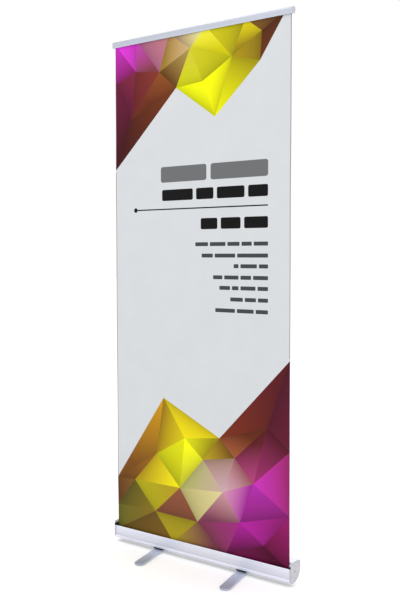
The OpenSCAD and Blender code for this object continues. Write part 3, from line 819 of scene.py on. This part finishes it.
def felt_strip():
    """Felt under the lip, its pile a little uneven."""
    low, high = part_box("lip_felt")
    t, h = high.y - low.y, high.z - low.z
    section = [(low.y, low.z), (low.y, low.z + h / 2), (low.y, high.z), (low.y + t * 0.6, high.z),
               (high.y - t * 0.1, high.z - t * 0.3), (high.y, low.z + h * 0.75), (high.y, low.z + h * 0.5),
               (high.y, low.z + h * 0.25), (high.y - t * 0.1, low.z + t * 0.3), (low.y + t * 0.6, low.z)]
    steps = 300
    stations = [low.x + (high.x - low.x) * i / steps for i in range(steps + 1)]
    unevenness = 0.10 * MM

    def pile(x, y, z):
        depth = (y - low.y) / t
        rough = noise.noise(Vector((x * 420, y * 700, z * 420)))
        return Vector((0.0, -unevenness * depth + unevenness * depth * rough, 0.0))

    verts, faces = strip_along_x(section, stations, pile)
    piece = new_piece("felt_strip", verts, faces, [looks["felt"]], "base", 60)
    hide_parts("lip_felt")


def ribbed_grip():
    """Rubber strip in the jaw with three rounded ribs towards the film."""
    low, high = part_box("jaw_grip")
    depth, height = high.y - low.y, high.z - low.z
    section = [(low.y, low.z), (low.y, high.z)]
    ribs, steps = 3, 8
    for i in range(ribs * steps + 1):
        share = i / (ribs * steps)
        bulge = abs(math.sin(math.pi * share * ribs))
        section.append((low.y + depth * (0.55 + 0.45 * bulge), high.z - height * share))
    verts, faces = strip_along_x(list(reversed(section)), [low.x, high.x], lambda x, y, z: Vector())
    body, slot = body_of["jaw_grip"], slot_of["jaw_grip"]
    piece = new_piece("ribbed_grip", verts, faces, [looks["rubber"]], body, 50)
    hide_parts("jaw_grip")


leader_turn()
coil_spring()
elastic_cord()
felt_strip()
ribbed_grip()


# ---------- finished copies of the visible hard parts ----------

# How far each part's sharp edges are rounded off, in millimetres.
ROUNDING = {
    "cassette_front": 0.25, "cassette_rear": 0.25, "end_cap_left": 0.5, "end_cap_right": 0.5,
    "end_cap_screws": 0.15, "foot_mount_left": 0.5, "foot_mount_right": 0.5, "foot_mount_screws": 0.15,
    "slot_stop_left": 0.4, "slot_stop_right": 0.4, "foot_bolt_left": 0.2, "foot_bolt_right": 0.2,
    "foot_washers": 0.08, "pole_bezel": 0.35, "pole_cup": 0.3,
    "foot_bar_left": 0.7, "foot_bar_right": 0.7, "foot_glides_left": 0.3, "foot_glides_right": 0.3,
    "rail_back": 0.2, "rail_jaw": 0.2, "rail_cap_left": 0.3, "rail_cap_right": 0.3, "rail_cap_screws": 0.12,
    "pole_tube_lower": 0.2, "pole_tube_middle": 0.2, "pole_tube_upper": 0.2,
    "pole_joint_lower": 0.3, "pole_joint_upper": 0.3, "pole_hook": 0.4, "pole_foot": 0.2,
}
for node, width in ROUNDING.items():
    rounded_copy(node, width * MM)

# The CAD parts that stay take their looks as they are.
for node, piece in frame["nodes"].items():
    if piece.hide_render:
        continue
    for slot in piece.material_slots:
        slot.material = looks[slot_of[node]]


# ---------- camera, floor and light ----------

def placed(name, data):
    """An object in the scene."""
    made = bpy.data.objects.new(name, data)
    bpy.context.scene.collection.objects.link(made)
    return made


# The camera's place, its turn, and its sensor and lens in millimetres.
CAMERA_PLACE = (2.0518, -2.6807, 1.2198)
YAW, PITCH, ROLL = (math.radians(a) for a in (37.455, 3.05, -0.10))
SENSOR, LENS, SIGHT = 36.0, 51.71, 60.0
camera = placed("camera", bpy.data.cameras.new("camera"))
turn = Matrix.Rotation(YAW, 4, "Z") @ Matrix.Rotation(math.pi / 2 - PITCH, 4, "X")
turn = turn @ Matrix.Rotation(ROLL, 4, "Z")
camera.matrix_world = Matrix.Translation(CAMERA_PLACE) @ turn
camera.data.sensor_width = SENSOR
camera.data.lens = LENS
camera.data.clip_end = SIGHT
bpy.context.scene.camera = camera

# The floor glows a little, so that it comes out white like the studio round it.
FLOOR, GLOW = 30.0, 0.13
WHITE = (1.0, 1.0, 1.0, 1.0)
corners = [(-FLOOR, -FLOOR, 0), (FLOOR, -FLOOR, 0), (FLOOR, FLOOR, 0), (-FLOOR, FLOOR, 0)]
floor_mesh = bpy.data.meshes.new("floor")
floor_mesh.from_pydata(corners, [], [(0, 1, 2, 3)])
floor = placed("floor", floor_mesh)
floor_look = Shader("floor_white", Specular_IOR_Level=0.1, Emission_Color=WHITE, Emission_Strength=GLOW)
floor_mesh.materials.append(floor_look.finish(
    floor_look.mix(floor_look.noise(0.6, 2.0), (0.97, 0.97, 0.975, 1.0), (0.985, 0.985, 0.985, 1.0)),
    floor_look.ramp(floor_look.noise(3.0), 0.3, 0.7, 0.75, 0.85),
    floor_look.bump(floor_look.noise(40.0), 0.02, 0.2 * MM)))


def softbox(name, place, width, height, power):
    """A rectangular studio lamp that looks at the middle of the stand, with its power in watts."""
    lamp = bpy.data.lights.new(name, "AREA")
    lamp.shape = "RECTANGLE"
    lamp.size, lamp.size_y = width, height
    lamp.energy = power
    lamp.color = (1.0, 0.99, 0.98)
    holder = placed(name, lamp)
    holder.location = place
    holder.rotation_mode = "QUATERNION"
    holder.rotation_quaternion = (Vector((0, 0, 1.0)) - Vector(place)).to_track_quat("-Z", "Y")


softbox("key", (-0.8, -2.8, 5.2), width=3.0, height=3.0, power=44)
softbox("fill", (3.8, -1.6, 2.6), width=2.0, height=3.0, power=8)
softbox("back", (0.5, 3.4, 3.2), width=3.0, height=2.0, power=18)

world = bpy.data.worlds.new("studio")
world.use_nodes = True
sky = world.node_tree.nodes["Background"].inputs
sky["Color"].default_value = WHITE
sky["Strength"].default_value = 1.0
bpy.context.scene.world = world
bpy.context.scene.view_settings.view_transform = "Standard"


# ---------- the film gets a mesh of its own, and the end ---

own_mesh(film)
